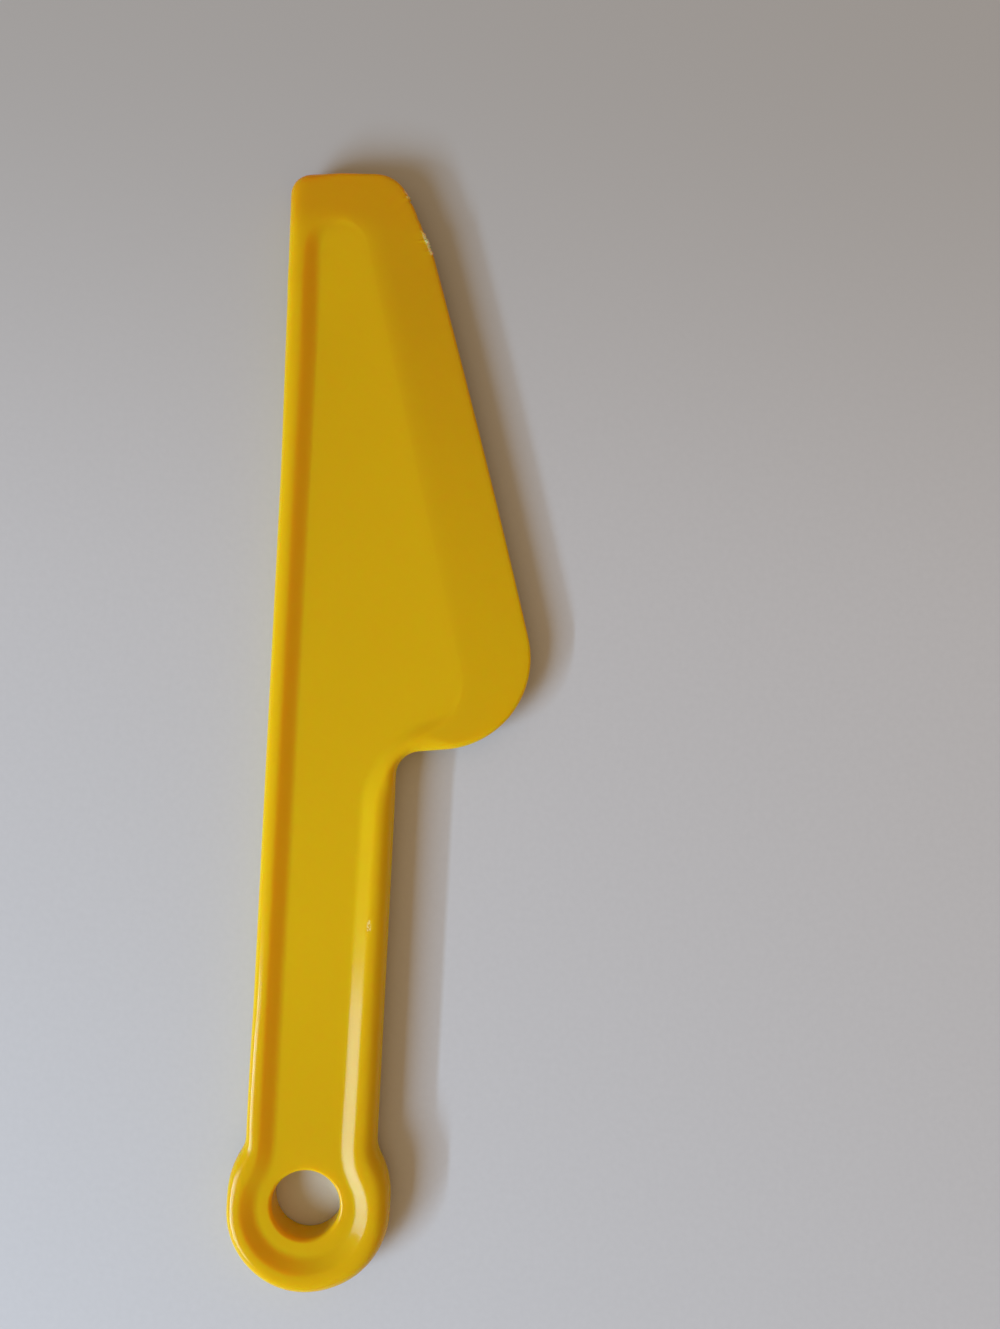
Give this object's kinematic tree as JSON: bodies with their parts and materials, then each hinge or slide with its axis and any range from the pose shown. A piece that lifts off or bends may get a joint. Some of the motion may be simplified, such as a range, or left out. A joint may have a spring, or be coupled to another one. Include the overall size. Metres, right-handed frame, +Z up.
{
  "type": "plastic cake spatula",
  "caption": "Flat moulded cake spatula with a straight spine, a bevelled wedge blade, a rimmed handle and a round hanging eye.",
  "frame": {"origin": "middle of the footprint, on the table that the rim rests on", "axes": "+Y from the hanging eye to the tip, +X to the cutting edge, +Z up out of the recessed face"},
  "size_m": [0.0614, 0.2484, 0.008],
  "materials": {
    "yellow_plastic": "satin to gloss moulded plastic"
  },
  "bodies": {
    "root": {"spine_rim": "yellow_plastic", "hanging_eye_rim": "yellow_plastic", "handle_rim": "yellow_plastic", "shoulder_rim": "yellow_plastic", "hanging_eye_floor": "yellow_plastic", "hanging_hole_collar": "yellow_plastic", "handle_web": "yellow_plastic", "blade_panel": "yellow_plastic", "cutting_bevel": "yellow_plastic", "tip_land": "yellow_plastic"}
  },
  "joints": []
}
